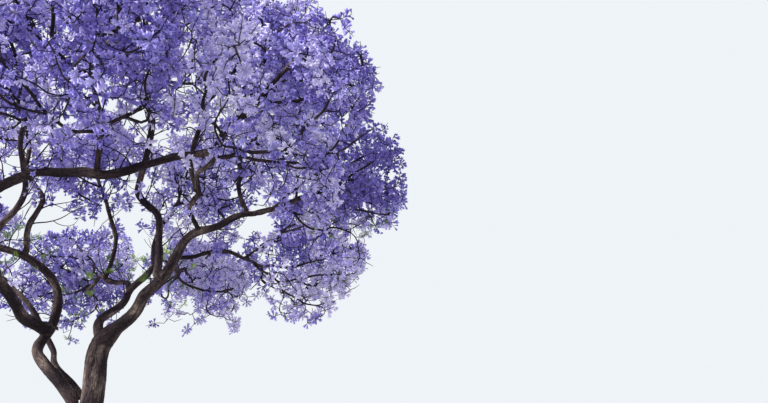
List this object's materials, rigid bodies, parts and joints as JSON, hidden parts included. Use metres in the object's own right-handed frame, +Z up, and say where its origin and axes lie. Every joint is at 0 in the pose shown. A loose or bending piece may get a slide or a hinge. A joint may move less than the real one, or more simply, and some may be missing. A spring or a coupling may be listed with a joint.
{
  "type": "jacaranda tree",
  "caption": "Flowering tree with a low-forking trunk, winding bare boughs and a wide open crown of violet-blue blossom, rooted at a flat cut at ground level.",
  "frame": {"origin": "middle of the flat cut under the trunk, at ground level", "axes": "+Z up; +X towards the road that the crown reaches over; +Y along that road, away from the viewer"},
  "size_m": [11.2788, 11.6044, 11.0343],
  "materials": {
    "bark": "rough grey-brown bark, finely cracked along the limb, with pale sunlit flanks",
    "blossom": "open mass of violet-blue trumpet flowers on dark twigs, some young green leaves"
  },
  "bodies": {
    "root": {"blossom_shoulder_1": "blossom", "blossom_shoulder_2": "blossom", "blossom_shoulder_3": "blossom", "blossom_shoulder_4": "blossom", "blossom_shoulder_5": "blossom", "blossom_shoulder_6": "blossom", "blossom_shoulder_7": "blossom", "blossom_skirt_1": "blossom", "blossom_skirt_2": "blossom", "blossom_skirt_3": "blossom", "blossom_skirt_4": "blossom", "blossom_skirt_5": "blossom", "blossom_skirt_6": "blossom", "blossom_skirt_7": "blossom", "blossom_skirt_8": "blossom", "blossom_skirt_9": "blossom", "blossom_top_1": "blossom", "blossom_top_2": "blossom", "blossom_top_3": "blossom", "blossom_top_4": "blossom", "bough_back": "bark", "bough_back_left": "bark", "bough_far_left": "bark", "bough_far_right": "bark", "bough_front": "bark", "bough_left": "bark", "bough_near": "bark", "bough_near_left": "bark", "bough_near_right": "bark", "bough_right": "bark", "limb_far_left": "bark", "limb_far_right": "bark", "limb_left": "bark", "limb_near": "bark", "limb_near_left": "bark", "limb_near_right": "bark", "limb_right": "bark", "limb_top_far": "bark", "limb_top_left": "bark", "limb_top_right": "bark", "riser": "bark", "trunk": "bark"}
  },
  "joints": []
}
